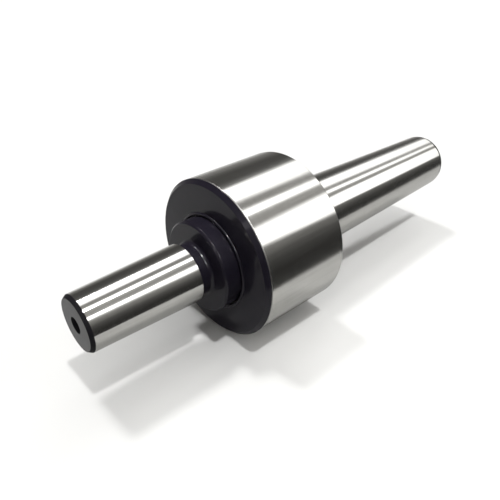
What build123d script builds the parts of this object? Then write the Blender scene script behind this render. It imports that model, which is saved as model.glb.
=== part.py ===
from build123d import *
import os
from math import cos, radians, sin, tan

# Live arbor for a lathe tailstock: a Morse taper no. 3 shank, a housing with bearings, and a rotating
# nose with a B18 taper that carries a drill chuck.
#
# Everything is turned about the X axis. X = 0 is the gauge plane of the Morse taper, +X points to the
# nose and +Z is up. Lengths are in millimetres.

# --- driving dimensions -------------------------------------------------------------------------
# Morse taper no. 3 shank without a tang
MT3_GAUGE_R = 23.825 / 2
MT3_SLOPE = 1 / 19.922 / 2
SHANK_LENGTH = 75.8
SHANK_LEAD_LENGTH = 1.6
SHANK_LEAD_ANGLE = 15
SHANK_CHAMFER = 0.5
SHANK_ROOT_FILLET = 0.6

# B18 nose taper for a drill chuck
B18_R = 17.780 / 2
B18_SLOPE = 1 / 20.020 / 2
B18_LENGTH = 32.0
NOSE_CHAMFER_LENGTH = 1.0
NOSE_CHAMFER_DEPTH = 0.7

# Centre holes in the two ends: radius of the mouth, radius of the pilot, length of the pilot
TAIL_CENTRE_HOLE = (3.35, 1.575, 3.5)
NOSE_CENTRE_HOLE = (2.35, 1.25, 2.6)
CENTRE_HALF_ANGLE = 30
DRILL_HALF_ANGLE = 59

# Housing and front cover
HOUSING_R = 24.5
HOUSING_BACK = 3.0
HOUSING_FRONT = 32.0
HOUSING_CHAMFER_LENGTH = 0.4
HOUSING_CHAMFER_DEPTH = 0.3
COVER_FLANGE = 1.5
COVER_CHAMFER = 1.2
COVER_LIP_R = 0.45
COVER_THREAD_R = 20.0
COVER_LEAD_IN = 0.5
SKIRT_BORE_R = 16.4
SEAM_BREAK = 0.2
BORE_RELIEF = 0.6

# Spindle
COLLAR_R = 13.8
COLLAR_FRONT = 38.8
COLLAR_CHAMFER = 0.5
COLLAR_OVERLAP = 1.4
COLLAR_SIDE_GAP = 0.2
INNER_SHOULDER_R = 12.0
NECK_LENGTH = 4.1
NECK_R = 7.8
NECK_FILLET = 1.09
REAR_JOURNAL_R = 5.0
REAR_JOURNAL_END = -22.0
THRUST_JOURNAL_R = 8.5
THRUST_JOURNAL_START = 1.0
FRONT_JOURNAL_R = 10.0
JOURNAL_CHAMFER = 0.5
RUNNING_GAP = 0.25
SEAL_GAP = 0.05

# Front deep-groove ball bearing, 20 x 37 x 9
FRONT_BEARING_BACK = 18.8
FRONT_BEARING_WIDTH = 9.0
FRONT_BEARING_R = 18.5
FRONT_PITCH_R = 14.25
FRONT_BALL_COUNT = 11
FRONT_SHOULDER_IN = 12.9
FRONT_SHOULDER_OUT = 15.6
FRONT_CAGE_R = (13.3, 15.2)
FRONT_CAGE_BACK_WALL = 0.7
FRONT_CAGE_PRONG = 1.0
OUTER_RING_FLOAT = 0.4

# Thrust ball bearing, 17 x 30 x 9
THRUST_BACK = 7.6
THRUST_HEIGHT = 9.0
THRUST_WASHER = 2.7
THRUST_R = 15.0
THRUST_WASHER_GAP = (0.5, 0.2)
THRUST_PITCH_R = 11.75
THRUST_BALL_COUNT = 12
THRUST_CAGE_R = (9.2, 14.3)
THRUST_CAGE_THICKNESS = 2.0

# Both ball bearings have 3/16 inch balls
BALL_R = 2.381
RACE_R = 2.5
ROLLING_GAP = 0.012
POCKET_GAP = 0.08
RING_CHAMFER = 0.3

# Drawn-cup needle bearing, 10 x 14 x 12
NEEDLE_BACK = -20.0
NEEDLE_WIDTH = 12.0
NEEDLE_CUP_R = 7.0
NEEDLE_CUP_WALL = 0.5
NEEDLE_LIP_R = 5.4
NEEDLE_COUNT = 14
NEEDLE_LENGTH = 9.6
NEEDLE_CAGE_R = (5.35, 6.2)
NEEDLE_CAGE_END_GAP = 0.15
SHANK_BORE_END = -24.0

# Small parts
CIRCLIP_THICKNESS = 1.2
CIRCLIP_GROOVE_DEPTH = 0.5
CIRCLIP_BODY_R = 11.7
CIRCLIP_LUG_R = 13.2
CIRCLIP_SIDE_GAP = 0.1
FELT_WIDTH = 1.9
FELT_R = 16.2
FELT_COVER_WALL = 0.6
O_RING_SECTION_R = 0.45
O_RING_GROOVE_WIDTH = 1.1
SPRING_R = (16.5, 18.3)
SPRING_THICKNESS = 0.35
SPRING_SPACE = 1.2
SPRING_END_GAP = 0.02
SHIELD_THICKNESS = 0.3
SHIELD_INSET = 0.5
SHIELD_GAP = 0.15

# --- positions along the axis -------------------------------------------------------------------
COVER_FACE = HOUSING_FRONT + COVER_FLANGE
NOSE_START = COLLAR_FRONT + NECK_LENGTH
NOSE_END = NOSE_START + B18_LENGTH + NOSE_CHAMFER_LENGTH
THRUST_FRONT = THRUST_BACK + THRUST_HEIGHT
THRUST_CENTRE = THRUST_BACK + THRUST_HEIGHT / 2
FRONT_BEARING_FRONT = FRONT_BEARING_BACK + FRONT_BEARING_WIDTH
FRONT_BEARING_CENTRE = FRONT_BEARING_BACK + FRONT_BEARING_WIDTH / 2
SKIRT_BACK = FRONT_BEARING_FRONT + SPRING_SPACE
COLLAR_BACK = SKIRT_BACK + COLLAR_OVERLAP
FELT_BACK = COLLAR_BACK + FELT_COVER_WALL
CIRCLIP_BACK = FRONT_BEARING_BACK - CIRCLIP_THICKNESS
COVER_BORE_R = COLLAR_R + RUNNING_GAP
NEEDLE_FRONT = NEEDLE_BACK + NEEDLE_WIDTH
NEEDLE_OUTER_R = NEEDLE_CUP_R - NEEDLE_CUP_WALL
NEEDLE_R = (NEEDLE_OUTER_R - REAR_JOURNAL_R) / 2
NEEDLE_PITCH_R = (NEEDLE_OUTER_R + REAR_JOURNAL_R) / 2


# --- helpers ------------------------------------------------------------------------------------
def turned(*outline):
    """A solid turned about X. Each step is a corner (x, r), or an arc given as (point on it, its end)."""
    edges = []
    here = outline[0]
    for step in outline[1:] + outline[:1]:
        if isinstance(step[0], tuple):
            through, there = step
            edges.append(ThreePointArc(here, through, there))
        else:
            there = step
            edges.append(Line(here, there))
        here = there
    return revolve(make_face(edges), axis=Axis.X)


def ring(x0, x1, r_in, r_out, chamfer=0.0):
    """A turned ring with its two outer corners chamfered."""
    if not chamfer:
        return turned((x0, r_in), (x1, r_in), (x1, r_out), (x0, r_out))
    return turned(
        (x0, r_in),
        (x1, r_in),
        (x1, r_out - chamfer),
        (x1 - chamfer, r_out),
        (x0 + chamfer, r_out),
        (x0, r_out - chamfer),
    )


def torus(x, major, minor):
    """A torus around X."""
    return Pos(x, 0, 0) * Rot(0, 90, 0) * Torus(major, minor)


def around(count, solid):
    """Copies of a solid, evenly spaced about X."""
    return [Rot(360 * i / count, 0, 0) * solid for i in range(count)]


def ball_circle(count, x, pitch_r, radius):
    return around(count, Pos(x, 0, pitch_r) * Sphere(radius))


def centre_hole(face_x, outward, mouth_r, pilot_r, pilot_length):
    """A 60 degree centre hole with its pilot, as the solid to cut away. outward is +1 or -1."""
    cone_end = face_x - outward * (mouth_r - pilot_r) / tan(radians(CENTRE_HALF_ANGLE))
    pilot_end = cone_end - outward * pilot_length
    drill_tip = pilot_end - outward * pilot_r / tan(radians(DRILL_HALF_ANGLE))
    return turned((face_x, 0), (face_x, mouth_r), (cone_end, pilot_r), (pilot_end, pilot_r), (drill_tip, 0))


def quarter(centre, radius, from_deg, to_deg):
    """A quarter arc about centre, as the (point on it, its end) step of an outline."""
    middle = radians((from_deg + to_deg) / 2)
    end = radians(to_deg)
    cx, cr = centre
    return (
        (cx + radius * cos(middle), cr + radius * sin(middle)),
        (cx + radius * cos(end), cr + radius * sin(end)),
    )


# --- shank and housing, in one piece -------------------------------------------------------
def shank_housing():
    def shank_r(x):
        return MT3_GAUGE_R + x * MT3_SLOPE

    tail = -SHANK_LENGTH
    lead_start = tail + SHANK_LEAD_LENGTH
    lead_r = shank_r(lead_start) - (SHANK_LEAD_LENGTH - SHANK_CHAMFER) * tan(radians(SHANK_LEAD_ANGLE))
    root_x = HOUSING_BACK - SHANK_ROOT_FILLET
    root_r = shank_r(HOUSING_BACK)
    thrust_seat_end = THRUST_BACK + THRUST_WASHER + BORE_RELIEF
    bearing_step = FRONT_BEARING_BACK - OUTER_RING_FLOAT
    thread_end = FRONT_BEARING_FRONT + BORE_RELIEF
    drill_tip = SHANK_BORE_END - NEEDLE_CUP_R / tan(radians(DRILL_HALF_ANGLE))
    solid = turned(
        (tail, 0),
        (tail, lead_r - SHANK_CHAMFER),
        (tail + SHANK_CHAMFER, lead_r),
        (lead_start, shank_r(lead_start)),
        (root_x, root_r),
        quarter((root_x, root_r + SHANK_ROOT_FILLET), SHANK_ROOT_FILLET, 270, 360),
        (HOUSING_BACK, HOUSING_R - HOUSING_CHAMFER_DEPTH),
        (HOUSING_BACK + HOUSING_CHAMFER_LENGTH, HOUSING_R),
        (HOUSING_FRONT - SEAM_BREAK, HOUSING_R),
        (HOUSING_FRONT, HOUSING_R - SEAM_BREAK),
        (HOUSING_FRONT, COVER_THREAD_R),
        (thread_end, COVER_THREAD_R),
        (thread_end, FRONT_BEARING_R),
        (bearing_step, FRONT_BEARING_R),
        (bearing_step, FRONT_SHOULDER_OUT),
        (thrust_seat_end, FRONT_SHOULDER_OUT),
        (thrust_seat_end, THRUST_R),
        (THRUST_BACK, THRUST_R),
        (THRUST_BACK, NEEDLE_CUP_R),
        (SHANK_BORE_END, NEEDLE_CUP_R),
        (drill_tip, 0),
    )
    return solid - centre_hole(tail, -1, *TAIL_CENTRE_HOLE)


def front_cover():
    """Screwed cover: a flange as wide as the housing, a lip, a threaded skirt, felt and O-ring grooves."""
    lip = (COVER_FACE, COVER_BORE_R + COVER_LIP_R)
    bore_start = COLLAR_BACK - COLLAR_SIDE_GAP
    felt_front = FELT_BACK + FELT_WIDTH
    groove_bottom = COVER_THREAD_R - 2 * O_RING_SECTION_R
    groove_back = HOUSING_FRONT - O_RING_GROOVE_WIDTH
    return turned(
        (SKIRT_BACK, SKIRT_BORE_R),
        (bore_start, SKIRT_BORE_R),
        (bore_start, COVER_BORE_R),
        (FELT_BACK, COVER_BORE_R),
        (FELT_BACK, FELT_R),
        (felt_front, FELT_R),
        (felt_front, COVER_BORE_R),
        (COVER_FACE, COVER_BORE_R),
        quarter(lip, COVER_LIP_R, 270, 360),
        quarter(lip, COVER_LIP_R, 0, 90),
        (COVER_FACE, HOUSING_R - COVER_CHAMFER),
        (COVER_FACE - COVER_CHAMFER, HOUSING_R),
        (HOUSING_FRONT + SEAM_BREAK, HOUSING_R),
        (HOUSING_FRONT, HOUSING_R - SEAM_BREAK),
        (HOUSING_FRONT, groove_bottom),
        (groove_back, groove_bottom),
        (groove_back, COVER_THREAD_R),
        (SKIRT_BACK + COVER_LEAD_IN, COVER_THREAD_R),
        (SKIRT_BACK, COVER_THREAD_R - COVER_LEAD_IN),
    )


def cover_o_ring():
    middle = HOUSING_FRONT - O_RING_GROOVE_WIDTH / 2
    return torus(middle, COVER_THREAD_R - O_RING_SECTION_R, O_RING_SECTION_R)


def felt_seal():
    return ring(FELT_BACK, FELT_BACK + FELT_WIDTH, COLLAR_R + SEAL_GAP, FELT_R)


def preload_spring():
    """Curved spring washer: a thin annulus bowed about the Z direction."""
    bow = SPRING_SPACE - SPRING_THICKNESS - 2 * SPRING_END_GAP
    inner_bend = (SPRING_R[1] ** 2 - bow**2) / (2 * bow)
    outer_bend = inner_bend + SPRING_THICKNESS
    crown = FRONT_BEARING_FRONT + SPRING_END_GAP + bow + SPRING_THICKNESS
    height = 3 * SPRING_R[1]
    shell = Cylinder(outer_bend, height) - Cylinder(inner_bend, height)
    space = ring(FRONT_BEARING_FRONT, SKIRT_BACK, *SPRING_R)
    return space & (Pos(crown - outer_bend, 0, 0) * shell)


# --- spindle ------------------------------------------------------------------------------------
def spindle():
    def nose_r(x):
        return B18_R - (x - NOSE_START) * B18_SLOPE

    nose_edge = NOSE_END - NOSE_CHAMFER_LENGTH
    neck_back = COLLAR_FRONT + NECK_FILLET
    neck_front = NOSE_START - NECK_FILLET
    fillet_r = NECK_R + NECK_FILLET
    thrust_start = THRUST_BACK + THRUST_JOURNAL_START
    groove_back = CIRCLIP_BACK - CIRCLIP_SIDE_GAP
    groove_r = FRONT_JOURNAL_R - CIRCLIP_GROOVE_DEPTH
    solid = turned(
        (REAR_JOURNAL_END, 0),
        (REAR_JOURNAL_END, REAR_JOURNAL_R - JOURNAL_CHAMFER),
        (REAR_JOURNAL_END + JOURNAL_CHAMFER, REAR_JOURNAL_R),
        (thrust_start, REAR_JOURNAL_R),
        (thrust_start, THRUST_JOURNAL_R - JOURNAL_CHAMFER),
        (thrust_start + JOURNAL_CHAMFER, THRUST_JOURNAL_R),
        (THRUST_FRONT, THRUST_JOURNAL_R),
        (THRUST_FRONT, FRONT_JOURNAL_R),
        (groove_back, FRONT_JOURNAL_R),
        (groove_back, groove_r),
        (FRONT_BEARING_BACK, groove_r),
        (FRONT_BEARING_BACK, FRONT_JOURNAL_R),
        (FRONT_BEARING_FRONT, FRONT_JOURNAL_R),
        (FRONT_BEARING_FRONT, INNER_SHOULDER_R),
        (COLLAR_BACK, INNER_SHOULDER_R),
        (COLLAR_BACK, COLLAR_R),
        (COLLAR_FRONT - COLLAR_CHAMFER, COLLAR_R),
        (COLLAR_FRONT, COLLAR_R - COLLAR_CHAMFER),
        (COLLAR_FRONT, fillet_r),
        quarter((neck_back, fillet_r), NECK_FILLET, 180, 270),
        (neck_front, NECK_R),
        quarter((neck_front, fillet_r), NECK_FILLET, 270, 360),
        (nose_edge, nose_r(nose_edge)),
        (NOSE_END, nose_r(nose_edge) - NOSE_CHAMFER_DEPTH),
        (NOSE_END, 0),
    )
    return solid - centre_hole(NOSE_END, 1, *NOSE_CENTRE_HOLE)


def spindle_circlip():
    """External circlip for a 20 mm shaft, with its gap and two lugs drilled for pliers."""
    gap_half = 1.6
    lug_half = 4.2
    hole = Cylinder(0.8, 2 * CIRCLIP_THICKNESS)
    hole_height = 11.65
    middle = CIRCLIP_BACK + CIRCLIP_THICKNESS / 2
    groove_r = FRONT_JOURNAL_R - CIRCLIP_GROOVE_DEPTH

    def block(half_width):
        return Pos(middle, 0, 1.5 * CIRCLIP_LUG_R) * Box(CIRCLIP_THICKNESS, 2 * half_width, 2 * CIRCLIP_LUG_R)

    band = ring(CIRCLIP_BACK, FRONT_BEARING_BACK, groove_r, CIRCLIP_BODY_R)
    wide = ring(CIRCLIP_BACK, FRONT_BEARING_BACK, groove_r, CIRCLIP_LUG_R)
    clip = band + (wide & block(lug_half)) - block(gap_half)
    for side in (-1, 1):
        y = side * (gap_half + lug_half) / 2
        clip -= Pos(middle, y, hole_height) * Rot(0, 90, 0) * hole
    return clip


# --- front ball bearing -------------------------------------------------------------------------
def front_outer_ring():
    blank = ring(FRONT_BEARING_BACK, FRONT_BEARING_FRONT, FRONT_SHOULDER_OUT, FRONT_BEARING_R, RING_CHAMFER)
    race = torus(FRONT_BEARING_CENTRE, FRONT_PITCH_R + BALL_R - RACE_R, RACE_R)
    return blank - race


def front_inner_ring():
    blank = ring(FRONT_BEARING_BACK, FRONT_BEARING_FRONT, FRONT_JOURNAL_R, FRONT_SHOULDER_IN, RING_CHAMFER)
    race = torus(FRONT_BEARING_CENTRE, FRONT_PITCH_R - BALL_R + RACE_R, RACE_R)
    return blank - race


def front_balls():
    return ball_circle(FRONT_BALL_COUNT, FRONT_BEARING_CENTRE, FRONT_PITCH_R, BALL_R - ROLLING_GAP)


def front_cage():
    """Snap-in crown cage: a ring behind the balls with open pockets between its prongs."""
    back = FRONT_BEARING_CENTRE - BALL_R - FRONT_CAGE_BACK_WALL
    front = FRONT_BEARING_CENTRE + FRONT_CAGE_PRONG
    pockets = ball_circle(FRONT_BALL_COUNT, FRONT_BEARING_CENTRE, FRONT_PITCH_R, BALL_R + POCKET_GAP)
    return ring(back, front, *FRONT_CAGE_R) - pockets


def front_shield(outside_x, inward):
    """Pressed shield inside one end of the bearing. inward is +1 or -1."""
    near = outside_x + inward * SHIELD_INSET
    far = near + inward * SHIELD_THICKNESS
    return ring(min(near, far), max(near, far), FRONT_SHOULDER_IN + SHIELD_GAP, FRONT_SHOULDER_OUT)


# --- thrust ball bearing ------------------------------------------------------------------------
def thrust_washer(back, race_x, r_in, r_out):
    blank = ring(back, back + THRUST_WASHER, r_in, r_out, RING_CHAMFER)
    return blank - torus(race_x, THRUST_PITCH_R, RACE_R)


def thrust_housing_washer():
    race_x = THRUST_CENTRE - BALL_R + RACE_R
    return thrust_washer(THRUST_BACK, race_x, THRUST_JOURNAL_R + THRUST_WASHER_GAP[0], THRUST_R)


def thrust_shaft_washer():
    race_x = THRUST_CENTRE + BALL_R - RACE_R
    back = THRUST_FRONT - THRUST_WASHER
    return thrust_washer(back, race_x, THRUST_JOURNAL_R, THRUST_R - THRUST_WASHER_GAP[1])


def thrust_balls():
    return ball_circle(THRUST_BALL_COUNT, THRUST_CENTRE, THRUST_PITCH_R, BALL_R - ROLLING_GAP)


def thrust_cage():
    half = THRUST_CAGE_THICKNESS / 2
    hole = Rot(0, 90, 0) * Cylinder(BALL_R + POCKET_GAP, 2 * THRUST_CAGE_THICKNESS)
    pockets = around(THRUST_BALL_COUNT, Pos(THRUST_CENTRE, 0, THRUST_PITCH_R) * hole)
    return ring(THRUST_CENTRE - half, THRUST_CENTRE + half, *THRUST_CAGE_R) - pockets


# --- needle bearing -----------------------------------------------------------------------------
def needle_cup():
    """Drawn cup: a thin sleeve with its two ends turned in."""
    return turned(
        (NEEDLE_BACK, NEEDLE_LIP_R),
        (NEEDLE_BACK + NEEDLE_CUP_WALL, NEEDLE_LIP_R),
        (NEEDLE_BACK + NEEDLE_CUP_WALL, NEEDLE_OUTER_R),
        (NEEDLE_FRONT - NEEDLE_CUP_WALL, NEEDLE_OUTER_R),
        (NEEDLE_FRONT - NEEDLE_CUP_WALL, NEEDLE_LIP_R),
        (NEEDLE_FRONT, NEEDLE_LIP_R),
        (NEEDLE_FRONT, NEEDLE_CUP_R),
        (NEEDLE_BACK, NEEDLE_CUP_R),
    )


def needle(radius, length):
    """A cylinder along X, centred in the needle bearing at the pitch radius, straight up from the axis."""
    centre = (NEEDLE_BACK + NEEDLE_FRONT) / 2
    return Pos(centre, 0, NEEDLE_PITCH_R) * Rot(0, 90, 0) * Cylinder(radius, length)


def needle_rollers():
    return around(NEEDLE_COUNT, needle(NEEDLE_R - ROLLING_GAP, NEEDLE_LENGTH))


def needle_cage():
    margin = NEEDLE_CUP_WALL + NEEDLE_CAGE_END_GAP
    cage = ring(NEEDLE_BACK + margin, NEEDLE_FRONT - margin, *NEEDLE_CAGE_R)
    pocket = needle(NEEDLE_R + POCKET_GAP / 2, NEEDLE_LENGTH + 2 * POCKET_GAP)
    return cage - around(NEEDLE_COUNT, pocket)


# --- the parts, one file each -------------------------------------------------------------------
NODES = {
    "shank_housing": shank_housing(),
    "front_cover": front_cover(),
    "cover_o_ring": cover_o_ring(),
    "felt_seal": felt_seal(),
    "preload_spring_washer": preload_spring(),
    "spindle": spindle(),
    "spindle_circlip": spindle_circlip(),
    "front_bearing_outer_ring": front_outer_ring(),
    "front_bearing_inner_ring": front_inner_ring(),
    "front_bearing_balls": front_balls(),
    "front_bearing_cage": front_cage(),
    "front_bearing_front_shield": front_shield(FRONT_BEARING_FRONT, -1),
    "front_bearing_rear_shield": front_shield(FRONT_BEARING_BACK, 1),
    "thrust_housing_washer": thrust_housing_washer(),
    "thrust_shaft_washer": thrust_shaft_washer(),
    "thrust_balls": thrust_balls(),
    "thrust_cage": thrust_cage(),
    "needle_cup": needle_cup(),
    "needle_rollers": needle_rollers(),
    "needle_cage": needle_cage(),
}

os.makedirs("parts", exist_ok=True)
for name, shape in NODES.items():
    solids = shape if isinstance(shape, list) else shape.solids()
    export_step(Compound(children=list(solids)), f"parts/{name}.step")
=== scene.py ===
"""Looks of the live center: turned pieces with broken edges, their finishes, and a plain pale studio."""

from math import cos, hypot, pi, radians, sin

import bmesh
import bpy
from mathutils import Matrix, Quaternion, Vector


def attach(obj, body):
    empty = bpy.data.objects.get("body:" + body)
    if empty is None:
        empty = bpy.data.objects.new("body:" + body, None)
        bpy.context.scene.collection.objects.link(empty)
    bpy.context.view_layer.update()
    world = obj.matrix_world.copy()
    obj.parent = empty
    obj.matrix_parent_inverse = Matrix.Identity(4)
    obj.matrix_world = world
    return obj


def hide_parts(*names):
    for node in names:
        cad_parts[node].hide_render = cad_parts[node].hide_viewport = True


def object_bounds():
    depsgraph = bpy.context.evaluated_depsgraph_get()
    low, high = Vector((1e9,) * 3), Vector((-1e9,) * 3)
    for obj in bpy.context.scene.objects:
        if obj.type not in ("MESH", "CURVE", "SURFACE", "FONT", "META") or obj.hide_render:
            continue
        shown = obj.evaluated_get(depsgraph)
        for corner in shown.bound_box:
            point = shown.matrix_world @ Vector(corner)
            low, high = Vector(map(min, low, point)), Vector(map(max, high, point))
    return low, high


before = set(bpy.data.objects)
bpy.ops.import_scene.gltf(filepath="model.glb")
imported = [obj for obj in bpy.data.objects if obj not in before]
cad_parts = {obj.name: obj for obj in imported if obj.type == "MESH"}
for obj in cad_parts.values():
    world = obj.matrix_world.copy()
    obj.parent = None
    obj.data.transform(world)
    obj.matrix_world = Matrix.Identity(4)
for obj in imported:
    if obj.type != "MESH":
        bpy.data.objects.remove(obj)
cad_low, cad_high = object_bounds()

MM = 0.001

# Turned pieces
SEGMENTS = 256  # flats round one turn
WELD = 1e-7  # points closer than this are one point
STRAIGHT_TURN = radians(0.4)  # a smaller turn between two stretches is no corner
CORNER_TURN = radians(20)  # a larger turn is a sharp corner, which gets a broken edge
EDGE_STEPS = 4  # stretches in the arc of a broken edge
EDGE_SHARE = 0.3  # the most of a stretch that one broken edge takes
RING_PITCH = 4 * MM  # the longest stretch between two rings of vertices
ON_AXIS = 1e-5  # a smaller radius counts as zero
TURNED_EDGE = 0.08 * MM  # how much the edges of the shank, cover and spindle are broken
BEARING_EDGE = 0.05 * MM
FELT_EDGE = 0.15 * MM

# Camera
AIM = Vector((18.1, 0, -3.0)) * MM
CAMERA_AZIMUTH = radians(48.5)  # from +X towards +Y
CAMERA_ELEVATION = radians(32.69)
CAMERA_ROLL = radians(-0.63)
CAMERA_DISTANCE = 161.5 * MM
SENSOR = 36  # millimetres of film
LENS = 37.2
CLIP_START = 10 * MM


# ---------------------------------------------------------------------------------------------------------
# Turned pieces, cut on a lathe from the outline of their CAD node
# ---------------------------------------------------------------------------------------------------------


def cut_outline(node):
    """The CAD node cut by the half plane above the X axis: (x, radius) points, and whether they close."""
    cut = bmesh.new()
    cut.from_mesh(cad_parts[node].data)
    bmesh.ops.remove_doubles(cut, verts=cut.verts, dist=WELD)
    for normal, both_sides in (((0, 1, 0), True), ((0, 0, -1), False)):
        everything = cut.verts[:] + cut.edges[:] + cut.faces[:]
        bmesh.ops.bisect_plane(
            cut, geom=everything, dist=WELD, plane_co=(0, 0, 0), plane_no=normal,
            clear_outer=True, clear_inner=both_sides,
        )
    ends = sorted((v for v in cut.verts if len(v.link_edges) == 1), key=lambda v: v.co.x)
    at = ends[0] if ends else min(cut.verts, key=lambda v: (v.co.x, v.co.z))
    closed = not ends
    points, seen = [], set()
    while at is not None:
        seen.add(at)
        points.append(Vector((at.co.x, max(at.co.z, 0.0))))
        following = [e.other_vert(at) for e in at.link_edges if e.other_vert(at) not in seen]
        at = following[0] if following else None
    cut.free()
    return points, closed


def turn_at(before, here, after):
    """The angle by which an outline turns at a point."""
    return abs((here - before).angle_signed(after - here, 0.0))


def without_straight_points(points, closed):
    kept = []
    for i, here in enumerate(points):
        inside = closed or 0 < i < len(points) - 1
        before = kept[-1] if kept else points[-1]
        after = points[(i + 1) % len(points)]
        if (here - before).length < WELD:
            continue
        if inside and turn_at(before, here, after) < STRAIGHT_TURN:
            continue
        kept.append(here)
    return kept


def with_broken_edges(points, closed, size):
    """Each sharp corner becomes a small arc, tangent to both stretches that meet there."""
    rounded = []
    for i, here in enumerate(points):
        inside = closed or 0 < i < len(points) - 1
        before, after = points[i - 1], points[(i + 1) % len(points)]
        if not inside or turn_at(before, here, after) < CORNER_TURN:
            rounded.append(here)
            continue
        back, ahead = before - here, after - here
        reach = min(size, back.length * EDGE_SHARE, ahead.length * EDGE_SHARE)
        first, last = here + back.normalized() * reach, here + ahead.normalized() * reach
        for step in range(EDGE_STEPS + 1):
            t = step / EDGE_STEPS
            rounded.append((1 - t) ** 2 * first + 2 * t * (1 - t) * here + t**2 * last)
    return rounded


def with_extra_rings(points, closed):
    """Long stretches get more rings of vertices, so that no face is a long splinter."""
    filled = []
    for i, here in enumerate(points):
        filled.append(here)
        if i == len(points) - 1 and not closed:
            break
        after = points[(i + 1) % len(points)]
        pieces = int((after - here).length / RING_PITCH) + 1
        filled += [here.lerp(after, n / pieces) for n in range(1, pieces)]
    return filled


def outline_normals(points, closed):
    """The normal at each point. The longer neighbour counts for more, so flats stay flat."""
    normals = []
    for i, here in enumerate(points):
        total = Vector((0.0, 0.0))
        if closed or i > 0:
            total += here - points[i - 1]
        if closed or i < len(points) - 1:
            total += points[(i + 1) % len(points)] - here
        normals.append(Vector((-total.y, total.x)).normalized())
    return normals


def spin(name, points, closed, facing):
    """A mesh made by turning the outline about X. facing, 1 or -1, says which side is outside."""
    verts, rings, normals = [], [], []
    for (x, r), (normal_x, normal_r) in zip(points, outline_normals(points, closed)):
        count = 1 if r < ON_AXIS else SEGMENTS
        rings.append([len(verts) + n for n in range(count)])
        for n in range(count):
            turn = 2 * pi * n / SEGMENTS
            out = r if count > 1 else 0.0
            verts.append((x, out * cos(turn), out * sin(turn)))
            normals.append((
                facing * normal_x,
                facing * normal_r * cos(turn) if count > 1 else 0.0,
                facing * normal_r * sin(turn) if count > 1 else 0.0,
            ))
    faces = []
    for i in range(len(rings) if closed else len(rings) - 1):
        near, far = rings[i], rings[(i + 1) % len(rings)]
        for n in range(SEGMENTS):
            there = [near[n % len(near)], near[(n + 1) % len(near)]]
            back = [far[(n + 1) % len(far)], far[n % len(far)]]
            corners = list(dict.fromkeys(there + back))
            faces.append(corners if facing > 0 else corners[::-1])
    mesh = bpy.data.meshes.new(name)
    mesh.from_pydata(verts, [], faces)
    mesh.validate()
    mesh.polygons.foreach_set("use_smooth", [True] * len(mesh.polygons))
    mesh.normals_split_custom_set_from_vertices(normals)
    made = bpy.data.objects.new(name, mesh)
    bpy.context.scene.collection.objects.link(made)
    return made


def signed_area(points):
    """Positive where the outline, closed along the axis if it is open, runs anticlockwise."""
    return sum(a.x * b.y - b.x * a.y for a, b in zip(points, points[1:] + points[:1])) / 2


def turned(name, node, body, edge):
    """A piece that stands for a turned CAD node, with edges broken by that much."""
    points, closed = cut_outline(node)
    points = without_straight_points(points, closed)
    facing = -1 if signed_area(points) > 0 else 1
    points = with_extra_rings(with_broken_edges(points, closed, edge), closed)
    made = spin(name, points, closed, facing)
    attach(made, body)
    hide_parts(node)
    return made


# ---------------------------------------------------------------------------------------------------------
# Node graphs
# ---------------------------------------------------------------------------------------------------------


RING_CORE = 0.1 * MM  # closer to the axis than this, rings of noise get no finer


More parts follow.
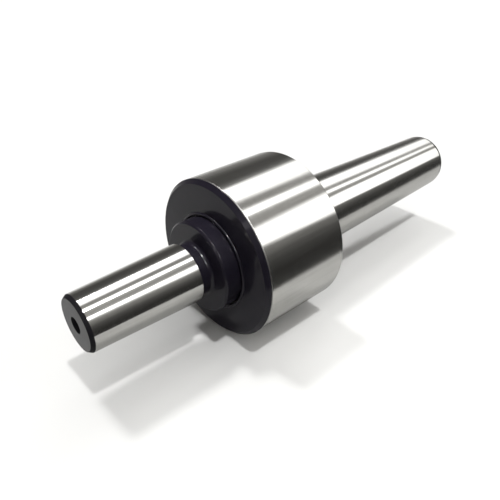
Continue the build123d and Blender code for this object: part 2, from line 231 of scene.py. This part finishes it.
class Graph:
    """A node tree in the making. Each method adds a node and gives back its output socket."""

    def __init__(self, tree):
        self.tree = tree
        tree.nodes.clear()

    def add(self, kind, feeds=None, output=0, **settings):
        node = self.tree.nodes.new("ShaderNode" + kind)
        for key, value in settings.items():
            setattr(node, key, value)
        for socket, value in (feeds or {}).items():
            if isinstance(value, bpy.types.NodeSocket):
                self.tree.links.new(value, node.inputs[socket])
            else:
                node.inputs[socket].default_value = value
        return node.outputs[output] if node.outputs else None

    def math(self, operation, *values):
        return self.add("Math", dict(enumerate(values)), operation=operation)

    def ramp(self, value, low, high, to_low=0.0, to_high=1.0, kind="SMOOTHSTEP"):
        """value taken from low..high to to_low..to_high, and held at the ends."""
        feeds = {"Value": value, "From Min": low, "From Max": high, "To Min": to_low, "To Max": to_high}
        return self.add("MapRange", feeds, interpolation_type=kind)

    def blend(self, share, first, second):
        """A colour between two colours."""
        made = self.tree.nodes.new("ShaderNodeMix")
        made.data_type = "RGBA"
        colours = [s for s in made.inputs if s.type == "RGBA"]
        for socket, value in zip([made.inputs[0], *colours], (share, first, second)):
            if isinstance(value, bpy.types.NodeSocket):
                self.tree.links.new(value, socket)
            else:
                socket.default_value = value if isinstance(value, float) else (*value, 1.0)
        return next(s for s in made.outputs if s.type == "RGBA")

    def place(self):
        """Where the point is in the piece's own frame."""
        return self.add("TexCoord", output="Object")

    def lumps(self, size, detail=2.0, roughness=0.5):
        """Noise with lumps of that size, about 0.5 on the whole."""
        feeds = {"Vector": self.place(), "Scale": 1 / size, "Detail": detail, "Roughness": roughness}
        return self.add("TexNoise", feeds)

    def rings(self, pitch, round_lumps, detail=2.0):
        """Noise in rings about the X axis, as a tool or a wheel leaves them: fine across, slow along."""
        separate = self.add("SeparateXYZ", {"Vector": self.place()}).node
        x, y, z = separate.outputs
        squares = self.math("ADD", self.math("MULTIPLY", y, y), self.math("MULTIPLY", z, z))
        radius = self.math("SQRT", squares)
        reach = self.math("DIVIDE", round_lumps, self.math("MAXIMUM", radius, RING_CORE))
        vector = self.add("CombineXYZ", {
            "X": self.math("DIVIDE", x, pitch),
            "Y": self.math("MULTIPLY", y, reach),
            "Z": self.math("MULTIPLY", z, reach),
        })
        feeds = {"Vector": vector, "W": self.math("DIVIDE", radius, pitch), "Scale": 1.0, "Detail": detail}
        return self.add("TexNoise", feeds, noise_dimensions="4D")

    def streaks(self, length, width, detail=2.0):
        """Noise drawn out along the X axis."""
        stretch = (1 / length, 1 / width, 1 / width)
        vector = self.add("VectorMath", {0: self.place(), 1: stretch}, operation="MULTIPLY")
        return self.add("TexNoise", {"Vector": vector, "Scale": 1.0, "Detail": detail})

    def around(self, value, amount, middle):
        """A noise value as middle plus or minus about that amount."""
        return self.math("MULTIPLY_ADD", self.math("SUBTRACT", value, 0.5), 2 * amount, middle)

    def bump(self, height, depth, normal=None):
        feeds = {"Height": height, "Distance": depth, "Strength": 1.0}
        if normal is not None:
            feeds["Normal"] = normal
        return self.add("Bump", feeds)

    def groove_direction(self):
        return self.add("Tangent", direction_type="RADIAL", axis="X")

    def surface(self, **feeds):
        """The one shader of a material. In a socket's name, _ stands for a space."""
        shader = self.add("BsdfPrincipled", {k.replace("_", " "): v for k, v in feeds.items()})
        self.add("OutputMaterial", {"Surface": shader})


def material(name, paint):
    made = bpy.data.materials.new(name)
    made.use_nodes = True
    paint(Graph(made.node_tree))
    return made


# ---------------------------------------------------------------------------------------------------------
# Finishes. In around, amount says how far a value strays from its middle.
# ---------------------------------------------------------------------------------------------------------


def ground_steel(graph):
    """Cylindrically ground steel: bright, with fine marks round the axis that spread light along it."""
    marks = graph.rings(pitch=0.09 * MM, round_lumps=2.5, detail=3.0)
    bands = graph.rings(pitch=0.9 * MM, round_lumps=0.8)
    chatter = graph.streaks(14 * MM, 0.8 * MM, detail=4.0)
    tone = graph.math("MULTIPLY_ADD", chatter, 0.8, graph.math("MULTIPLY", bands, 0.3))
    normal = graph.bump(chatter, 5e-3 * MM)
    for height, depth in ((marks, 0.35e-3 * MM), (bands, 0.9e-3 * MM)):
        normal = graph.bump(height, depth, normal)
    graph.surface(
        Base_Color=graph.blend(tone, (0.46, 0.454, 0.434), (0.66, 0.655, 0.635)),
        Metallic=1.0,
        Roughness=graph.around(marks, amount=0.03, middle=0.15),
        Anisotropic=0.95,
        Anisotropic_Rotation=0.25,
        Tangent=graph.groove_direction(),
        Normal=normal,
    )


def turned_steel(graph):
    """Machined and left bare, inside the bores: grey with plain tool marks."""
    marks = graph.rings(pitch=0.22 * MM, round_lumps=0.6)
    graph.surface(
        Base_Color=graph.blend(graph.lumps(3 * MM), (0.34, 0.335, 0.325), (0.45, 0.445, 0.43)),
        Metallic=1.0,
        Roughness=graph.around(marks, amount=0.08, middle=0.38),
        Anisotropic=0.6,
        Anisotropic_Rotation=0.25,
        Tangent=graph.groove_direction(),
        Normal=graph.bump(marks, 4e-3 * MM),
    )


def black_oxide(graph):
    """Blackened turned steel under a film of oil: near black, a little blue and purple, softly shiny."""
    marks = graph.rings(pitch=0.16 * MM, round_lumps=0.7, detail=3.0)
    clouds = graph.lumps(4 * MM, detail=4.0)
    marked = graph.around(marks, amount=0.06, middle=0.32)
    graph.surface(
        Base_Color=graph.blend(clouds, (0.0095, 0.0080, 0.0140), (0.0175, 0.0150, 0.0235)),
        Roughness=graph.around(clouds, amount=0.06, middle=marked),
        Specular_IOR_Level=0.06,
        Coat_Weight=0.45,
        Coat_Roughness=0.08,
        Coat_IOR=1.45,
        Normal=graph.bump(marks, 1.2e-3 * MM),
    )


def dull_black_painted_shade(graph):
    """Blackened steel left rough from the tool, in chamfers and centre holes: matt, with a darker colour that
    paints the shade in them.
    """
    marks = graph.rings(pitch=0.12 * MM, round_lumps=0.9, detail=3.0)
    graph.surface(
        Base_Color=graph.blend(graph.lumps(2 * MM), (0.0035, 0.0030, 0.0045), (0.0075, 0.0065, 0.0095)),
        Roughness=graph.around(marks, amount=0.08, middle=0.62),
        Specular_IOR_Level=0.10,
        Normal=graph.bump(marks, 2e-3 * MM),
    )


def bearing_steel(graph):
    """Hardened and ground rings: bright, with a slight straw tint."""
    marks = graph.rings(pitch=0.06 * MM, round_lumps=1.5)
    graph.surface(
        Base_Color=graph.blend(graph.lumps(5 * MM), (0.55, 0.54, 0.51), (0.64, 0.635, 0.61)),
        Metallic=1.0,
        Roughness=graph.around(marks, amount=0.05, middle=0.2),
        Anisotropic=0.6,
        Anisotropic_Rotation=0.25,
        Tangent=graph.groove_direction(),
        Normal=graph.bump(marks, 0.25e-3 * MM),
    )


def polished_steel(graph):
    """Lapped balls and needles: nearly mirrors, with a breath of oil."""
    film = graph.lumps(0.8 * MM, detail=3.0)
    graph.surface(
        Base_Color=graph.blend(film, (0.60, 0.60, 0.60), (0.68, 0.68, 0.67)),
        Metallic=1.0,
        Roughness=graph.around(film, amount=0.03, middle=0.08),
        Normal=graph.bump(film, 0.1e-3 * MM),
    )


def sheet_steel(graph):
    """Cold-rolled sheet for the shields: satin, with fine rolling lines."""
    lines = graph.rings(pitch=0.12 * MM, round_lumps=5.0)
    graph.surface(
        Base_Color=graph.blend(graph.lumps(2 * MM), (0.42, 0.42, 0.42), (0.52, 0.52, 0.515)),
        Metallic=1.0,
        Roughness=graph.around(lines, amount=0.08, middle=0.34),
        Normal=graph.bump(lines, 0.6e-3 * MM),
    )


def spring_steel(graph):
    """Hardened spring strip, oiled and browned by its heat treatment."""
    scale = graph.lumps(0.6 * MM, detail=4.0)
    graph.surface(
        Base_Color=graph.blend(scale, (0.055, 0.048, 0.042), (0.115, 0.100, 0.085)),
        Metallic=0.8,
        Roughness=graph.around(scale, amount=0.12, middle=0.42),
        Normal=graph.bump(scale, 2e-3 * MM),
    )


def cage_polymer(graph):
    """Glass-filled nylon, off-white, with a matt moulded skin."""
    grain = graph.lumps(0.12 * MM, detail=3.0)
    graph.surface(
        Base_Color=graph.blend(graph.lumps(1.5 * MM), (0.60, 0.55, 0.44), (0.70, 0.66, 0.55)),
        Roughness=graph.around(grain, amount=0.1, middle=0.5),
        Subsurface_Weight=0.15,
        Subsurface_Radius=(0.6 * MM, 0.5 * MM, 0.4 * MM),
        Normal=graph.bump(grain, 4e-3 * MM),
    )


def cage_brass(graph):
    """Machined brass with turning marks and a little tarnish."""
    marks = graph.rings(pitch=0.14 * MM, round_lumps=0.7)
    tarnish = graph.lumps(1.8 * MM, detail=4.0)
    graph.surface(
        Base_Color=graph.blend(tarnish, (0.46, 0.29, 0.09), (0.66, 0.47, 0.19)),
        Metallic=1.0,
        Roughness=graph.around(marks, amount=0.08, middle=0.3),
        Normal=graph.bump(marks, 1.5e-3 * MM),
    )


def nitrile_rubber(graph):
    """Black moulded rubber, slightly dusty."""
    grain = graph.lumps(0.08 * MM, detail=4.0)
    graph.surface(
        Base_Color=graph.blend(graph.lumps(1.2 * MM), (0.012, 0.012, 0.012), (0.024, 0.024, 0.023)),
        Roughness=graph.around(grain, amount=0.1, middle=0.55),
        Normal=graph.bump(grain, 3e-3 * MM),
    )


def felt(graph):
    """Pressed wool felt, grey-brown where it has taken up oil."""
    tangle = {"Scale": 1 / (0.09 * MM), "Detail": 5.0, "Roughness": 0.7, "Distortion": 2.5}
    fibres = graph.add("TexNoise", {"Vector": graph.place(), **tangle})
    oil = graph.lumps(3 * MM)
    wool = graph.blend(fibres, (0.16, 0.145, 0.125), (0.42, 0.395, 0.35))
    graph.surface(
        Base_Color=graph.blend(graph.ramp(oil, 0.35, 0.65), wool, (0.11, 0.095, 0.075)),
        Roughness=graph.around(fibres, amount=0.08, middle=0.88),
        Sheen_Weight=0.5,
        Normal=graph.bump(fibres, 0.05 * MM),
    )


FINISHES = {
    paint.__name__: material(paint.__name__, paint)
    for paint in (
        ground_steel, turned_steel, black_oxide, dull_black_painted_shade, bearing_steel, polished_steel, sheet_steel,
        spring_steel, cage_polymer, cage_brass, nitrile_rubber, felt,
    )
}


def finish(piece, *names, choose=None):
    """Gives a piece its finishes. choose says which of them a face has, from its middle and its normal."""
    mesh = piece.data
    mesh.materials.clear()
    for name in names:
        mesh.materials.append(FINISHES[name])
    for face in mesh.polygons:
        face.material_index = choose(face.center, face.normal) if choose else 0


def radius_of(point):
    return hypot(point.y, point.z)


# ---------------------------------------------------------------------------------------------------------
# The pieces
# ---------------------------------------------------------------------------------------------------------

# The matt black is painted darker than the black oxide, as shade in chamfers and holes.
TURNED = ("ground_steel", "black_oxide", "turned_steel", "dull_black_painted_shade")
GROUND, BLACK, BARE, DULL_SHADED = range(len(TURNED))
HOUSING_BACK = 3.0 * MM
REAR_CHAMFER = 0.4 * MM
ROUND_FACE = 0.12  # a face whose normal leans less than this along X is round the axis
FLAT_FACE = 0.97  # a face whose normal leans more than this is square to the axis
HOUSING_WALL_R = 24 * MM
TAIL_MOUTH = 8 * MM  # how deep the tail's centre hole gets the matt black with painted shade
NOSE_START = 42.9 * MM
NOSE_BEND = 74 * MM  # the nose's taper ends behind its chamfer
SEAL_BACK = 30.4 * MM  # behind this the spindle runs inside the housing


def outward(point, normal):
    """How much a face looks away from the axis, from -1 to 1."""
    return (normal.y * point.y + normal.z * point.z) / max(radius_of(point), ON_AXIS)


def housing_finish(point, normal):
    """The taper and the housing's wall are ground. Its rear face is black, chamfers and the tail's centre
    hole matt black with painted shade, bores bare.
    """
    lean = abs(normal.x)
    away = outward(point, normal)
    on_wall = point.x > HOUSING_BACK and radius_of(point) > HOUSING_WALL_R
    on_taper = point.x < HOUSING_BACK and away > 0
    if lean < ROUND_FACE and (on_wall or on_taper):
        return GROUND
    if point.x < HOUSING_BACK + REAR_CHAMFER and away > -ROUND_FACE:
        # Chamfers get the matt black, painted darker as shade.
        return BLACK if lean > FLAT_FACE else DULL_SHADED
    # The tail's centre hole gets the matt black, painted darker as shade; deeper bores are bare.
    return DULL_SHADED if point.x < cad_low.x + TAIL_MOUTH else BARE


def spindle_finish(point, normal):
    """Only the nose's taper is ground bright outside. Journals inside are ground, the rest is black, with
    painted shade in chamfers and the centre hole.
    """
    lean = abs(normal.x)
    away = outward(point, normal)
    if lean < ROUND_FACE and away > 0 and (point.x > NOSE_START or point.x < SEAL_BACK):
        return GROUND
    if point.x > NOSE_BEND or away < -ROUND_FACE:
        # Chamfers and the centre hole get the matt black, painted darker as shade.
        return BLACK if lean > FLAT_FACE else DULL_SHADED
    return BLACK if point.x > SEAL_BACK else BARE


shank_housing = turned("shank_housing_turned", "shank_housing", "stationary", TURNED_EDGE)
finish(shank_housing, *TURNED, choose=housing_finish)

front_cover = turned("front_cover_turned", "front_cover", "stationary", TURNED_EDGE)
finish(front_cover, "black_oxide")

spindle = turned("spindle_turned", "spindle", "rotating", TURNED_EDGE)
finish(spindle, *TURNED, choose=spindle_finish)

for node, body, slot, edge, paint in (
    ("front_bearing_outer_ring", "stationary", "bearing_steel", BEARING_EDGE, "bearing_steel"),
    ("front_bearing_inner_ring", "rotating", "bearing_steel", BEARING_EDGE, "bearing_steel"),
    ("front_bearing_front_shield", "stationary", "shield_steel", BEARING_EDGE, "sheet_steel"),
    ("front_bearing_rear_shield", "stationary", "shield_steel", BEARING_EDGE, "sheet_steel"),
    ("thrust_housing_washer", "stationary", "bearing_steel", BEARING_EDGE, "bearing_steel"),
    ("thrust_shaft_washer", "rotating", "bearing_steel", BEARING_EDGE, "bearing_steel"),
    ("needle_cup", "stationary", "bearing_steel", BEARING_EDGE, "bearing_steel"),
    ("cover_o_ring", "stationary", "nitrile_rubber", 0.0, "nitrile_rubber"),
):
    finish(turned(node + "_turned", node, body, edge), paint)

felt_ring = turned("felt_seal_pressed", "felt_seal", "stationary", FELT_EDGE)
finish(felt_ring, "felt")

for node, paint in (
    ("front_bearing_balls", "polished_steel"),
    ("front_bearing_cage", "cage_polymer"),
    ("thrust_balls", "polished_steel"),
    ("thrust_cage", "cage_brass"),
    ("needle_rollers", "polished_steel"),
    ("needle_cage", "cage_polymer"),
    ("spindle_circlip", "spring_steel"),
    ("preload_spring_washer", "spring_steel"),
):
    finish(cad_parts[node], paint)


# ---------------------------------------------------------------------------------------------------------
# Studio: a pale floor, three soft lights overhead and to the side, and a dim room
# ---------------------------------------------------------------------------------------------------------


def flat_sheet(name, corner_low, corner_high, height):
    made = bpy.data.meshes.new(name)
    (x0, y0), (x1, y1) = corner_low, corner_high
    corners = [(x, y, height) for x, y in ((x0, y0), (x1, y0), (x1, y1), (x0, y1))]
    made.from_pydata(corners, [], [(0, 1, 2, 3)])
    sheet = bpy.data.objects.new(name, made)
    bpy.context.scene.collection.objects.link(sheet)
    return sheet


def paper(colour):
    def paint(graph):
        graph.surface(Base_Color=(*colour, 1.0), Roughness=0.9, Specular_IOR_Level=0.1)
    return paint


FLOOR_CLEARANCE = 0.02 * MM
FLOOR_LOW, FLOOR_HIGH = (-3, -3), (3, 3)
FLOOR_PAPER = (0.66, 0.66, 0.652)
BOUNCE_LOW, BOUNCE_HIGH = (-0.6, -0.35), (0.6, 58 * MM)
BOUNCE_PAPER = (0.40, 0.40, 0.392)

# The camera sees one floor. Reflections see a greyer one, which ends in front of the object.
floor = flat_sheet("floor", FLOOR_LOW, FLOOR_HIGH, cad_low.z - FLOOR_CLEARANCE)
floor.data.materials.append(material("pale_paper", paper(FLOOR_PAPER)))
for kind in ("glossy", "diffuse", "transmission", "shadow"):
    setattr(floor, "visible_" + kind, False)

bounce = flat_sheet("floor_bounce", BOUNCE_LOW, BOUNCE_HIGH, cad_low.z - 2 * FLOOR_CLEARANCE)
bounce.data.materials.append(material("pale_paper_bounce", paper(BOUNCE_PAPER)))
bounce.visible_camera = False


# The dim room seen from the object: degrees round the X axis, from +Y over the top, and the brightness there
STRAIGHT_DOWN = -90
ROOM = (
    (-90, 0.05), (-12, 0.04), (0, 0.07), (10, 0.12), (18, 0.22), (28, 0.34), (56, 0.40), (64, 0.44),
    (86, 0.36), (92, 0.34), (115, 0.16), (140, 0.10), (158, 0.09), (176, 0.24), (190, 0.42), (270, 0.42),
)
# Soft lights: two edges, each an angle in degrees, what it gains towards -X and its softness; then brightness
LIGHTS = (
    ((95, 4, 4), (108, 30, 3), 2.0),
    ((67.5, 8, 1.5), (78.5, 6.5, 1.5), 1.7),
    ((41, -24, 3.5), (35, 32, 3.5), 2.0),
)
LIGHT_FADE = (0.82, 0.97)  # how far towards either end of the axis the lights reach
ROOM_TINT = (1.02, 1.0, 0.96)
SKY = (0.98, 0.98, 0.975)  # what the camera sees behind the floor


def room_light(graph, angle):
    """The colour of the dim room at an angle round X."""
    turn = graph.ramp(angle, STRAIGHT_DOWN, STRAIGHT_DOWN + 360, kind="LINEAR")
    room = graph.add("ValToRGB", {"Fac": turn})
    stops = room.node.color_ramp
    stops.interpolation = "LINEAR"
    while len(stops.elements) < len(ROOM):
        stops.elements.new(0.5)
    for stop, (at, level) in zip(stops.elements, ROOM):
        stop.position = (at - STRAIGHT_DOWN) / 360
        stop.color = (*(level * share for share in ROOM_TINT), 1.0)
    return room


def soft_lights(graph, angle, x):
    """The brightness of the soft lights in the direction with that angle round X and that x."""
    rear = graph.math("MULTIPLY", x, -1.0)
    inside = graph.ramp(graph.math("ABSOLUTE", x), *LIGHT_FADE, 1.0, 0.0)

    def step(edge, before, after):
        at, gain, softness = edge
        middle = graph.math("MULTIPLY_ADD", rear, float(gain), float(at))
        start = graph.math("SUBTRACT", middle, softness)
        return graph.ramp(angle, start, graph.math("ADD", middle, softness), before, after)

    glow = 0.0
    for low, high, level in LIGHTS:
        band = graph.math("MULTIPLY", step(low, 0.0, 1.0), step(high, 1.0, 0.0))
        glow = graph.math("MULTIPLY_ADD", graph.math("MULTIPLY", band, inside), level, glow)
    return glow


def studio(graph):
    direction = graph.add("SeparateXYZ", {"Vector": graph.add("TexCoord", output="Generated")}).node
    x, y, z = direction.outputs
    round_x = graph.math("DEGREES", graph.math("ARCTAN2", z, y))
    below = graph.math("LESS_THAN", round_x, float(STRAIGHT_DOWN))
    angle = graph.math("MULTIPLY_ADD", below, 360.0, round_x)
    glow = soft_lights(graph, angle, x)
    white = graph.add("CombineXYZ", {0: glow, 1: glow, 2: glow})
    lit = graph.add("VectorMath", {0: room_light(graph, angle), 1: white}, operation="ADD")
    seen = graph.add("LightPath", output="Is Camera Ray")
    graph.add("OutputWorld", {"Surface": graph.add("Background", {"Color": graph.blend(seen, lit, SKY)})})


# Small lamps: degrees round X, strength, size in degrees, and whether matt surfaces are lit, with shadows
LAMPS = (
    ("lamp_middle", 72, 1.5, 3, True),
    ("lamp_far", 115, 1.5, 9, True),
    ("spark_side", 42, 5.0, 3, False),
    ("spark_middle", 72, 5.0, 3, False),
    ("spark_far", 115, 2.5, 3, False),
)
for name, round_x, strength, size, lights_floor in LAMPS:
    lamp = bpy.data.objects.new(name, bpy.data.lights.new(name, "SUN"))
    bpy.context.scene.collection.objects.link(lamp)
    lamp.data.energy = strength
    lamp.data.angle = radians(size)
    lamp.visible_diffuse = lights_floor
    lamp.visible_glossy = not lights_floor
    to_lamp = Vector((0, cos(radians(round_x)), sin(radians(round_x))))
    lamp.rotation_mode = "QUATERNION"
    lamp.rotation_quaternion = to_lamp.to_track_quat("Z", "Y")

world = bpy.data.worlds.new("studio")
world.use_nodes = True
studio(Graph(world.node_tree))
bpy.context.scene.world = world
bpy.context.scene.view_settings.view_transform = "Standard"

camera = bpy.data.objects.new("camera", bpy.data.cameras.new("camera"))
bpy.context.scene.collection.objects.link(camera)
toward_camera = Vector((
    cos(CAMERA_AZIMUTH) * cos(CAMERA_ELEVATION),
    sin(CAMERA_AZIMUTH) * cos(CAMERA_ELEVATION),
    sin(CAMERA_ELEVATION),
))
camera.location = AIM + toward_camera * CAMERA_DISTANCE
camera.rotation_mode = "QUATERNION"
level_view = (-toward_camera).to_track_quat("-Z", "Y")
camera.rotation_quaternion = level_view @ Quaternion((0, 0, 1), CAMERA_ROLL)
camera.data.sensor_width = SENSOR
camera.data.lens = LENS
camera.data.clip_start = CLIP_START
bpy.context.scene.camera = camera
